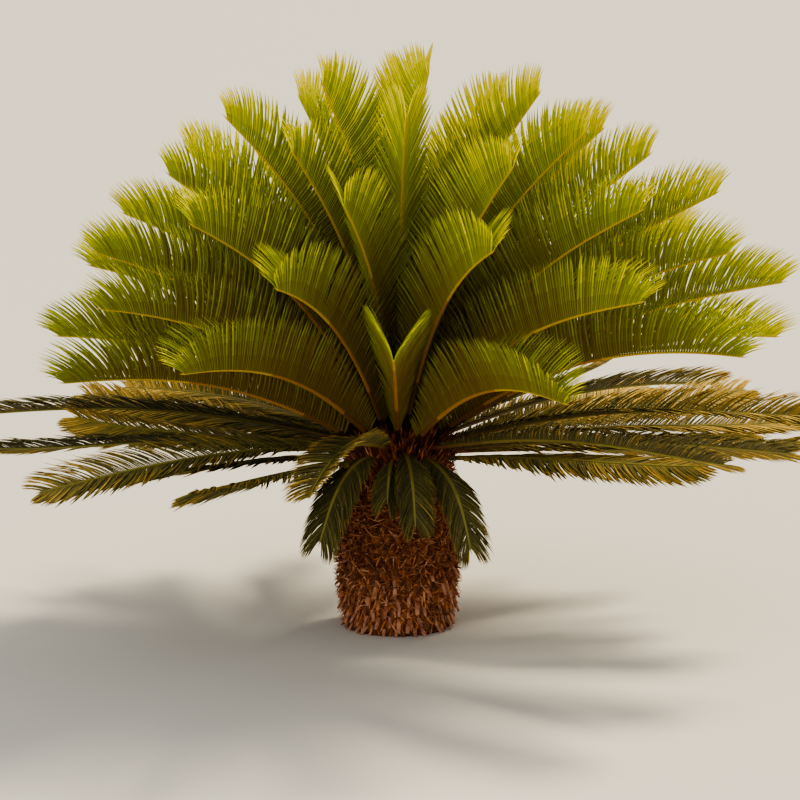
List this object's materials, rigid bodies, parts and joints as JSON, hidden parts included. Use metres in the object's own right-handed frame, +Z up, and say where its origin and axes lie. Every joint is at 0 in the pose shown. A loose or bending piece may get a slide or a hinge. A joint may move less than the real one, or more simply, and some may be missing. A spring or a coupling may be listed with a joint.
{
  "type": "sago palm",
  "caption": "Sago palm: a stout barrel of a trunk, knobbly with old leaf bases, under a full crown of stiff arching feather fronds, with a skirt of older fronds below.",
  "frame": {"origin": "middle of the flat cut under the trunk, at ground level", "axes": "+Z up; -Y towards the viewer of the picture; +X to the viewer's right"},
  "size_m": [2.4566, 2.4883, 1.6046],
  "materials": {
    "bark": "rough, fibrous, with stubs of old leaf bases",
    "young_leaf": "stiff leaf, half glossy, yellow green",
    "old_leaf": "stiff leaf, dull dark green, partly browned"
  },
  "bodies": {
    "root": {"old_fronds_01": "old_leaf", "old_fronds_02": "old_leaf", "old_fronds_03": "old_leaf", "old_fronds_04": "old_leaf", "old_fronds_05": "old_leaf", "old_fronds_06": "old_leaf", "old_fronds_07": "old_leaf", "old_fronds_08": "old_leaf", "trunk": "bark", "young_frond_01": "young_leaf", "young_frond_02": "young_leaf", "young_frond_03": "young_leaf", "young_frond_04": "young_leaf", "young_frond_05": "young_leaf", "young_frond_06": "young_leaf", "young_frond_07": "young_leaf", "young_frond_08": "young_leaf", "young_frond_09": "young_leaf", "young_frond_10": "young_leaf", "young_frond_11": "young_leaf", "young_frond_12": "young_leaf", "young_frond_13": "young_leaf", "young_frond_14": "young_leaf", "young_frond_15": "young_leaf", "young_frond_16": "young_leaf", "young_frond_17": "young_leaf", "young_frond_18": "young_leaf", "young_frond_19": "young_leaf", "young_frond_20": "young_leaf", "young_frond_21": "young_leaf", "young_frond_22": "young_leaf", "young_frond_23": "young_leaf", "young_frond_24": "young_leaf", "young_frond_25": "young_leaf", "young_frond_26": "young_leaf", "young_frond_27": "young_leaf", "young_frond_28": "young_leaf", "young_frond_29": "young_leaf", "young_frond_30": "young_leaf", "young_frond_31": "young_leaf", "young_frond_32": "young_leaf", "young_frond_33": "young_leaf", "young_frond_34": "young_leaf", "young_frond_35": "young_leaf", "young_frond_36": "young_leaf", "young_frond_37": "young_leaf", "young_frond_38": "young_leaf", "young_frond_39": "young_leaf", "young_frond_40": "young_leaf", "young_frond_41": "young_leaf", "young_frond_42": "young_leaf", "young_frond_43": "young_leaf", "young_frond_44": "young_leaf", "young_frond_45": "young_leaf", "young_frond_46": "young_leaf", "young_frond_47": "young_leaf", "young_frond_48": "young_leaf", "young_frond_49": "young_leaf", "young_frond_50": "young_leaf"}
  },
  "joints": []
}
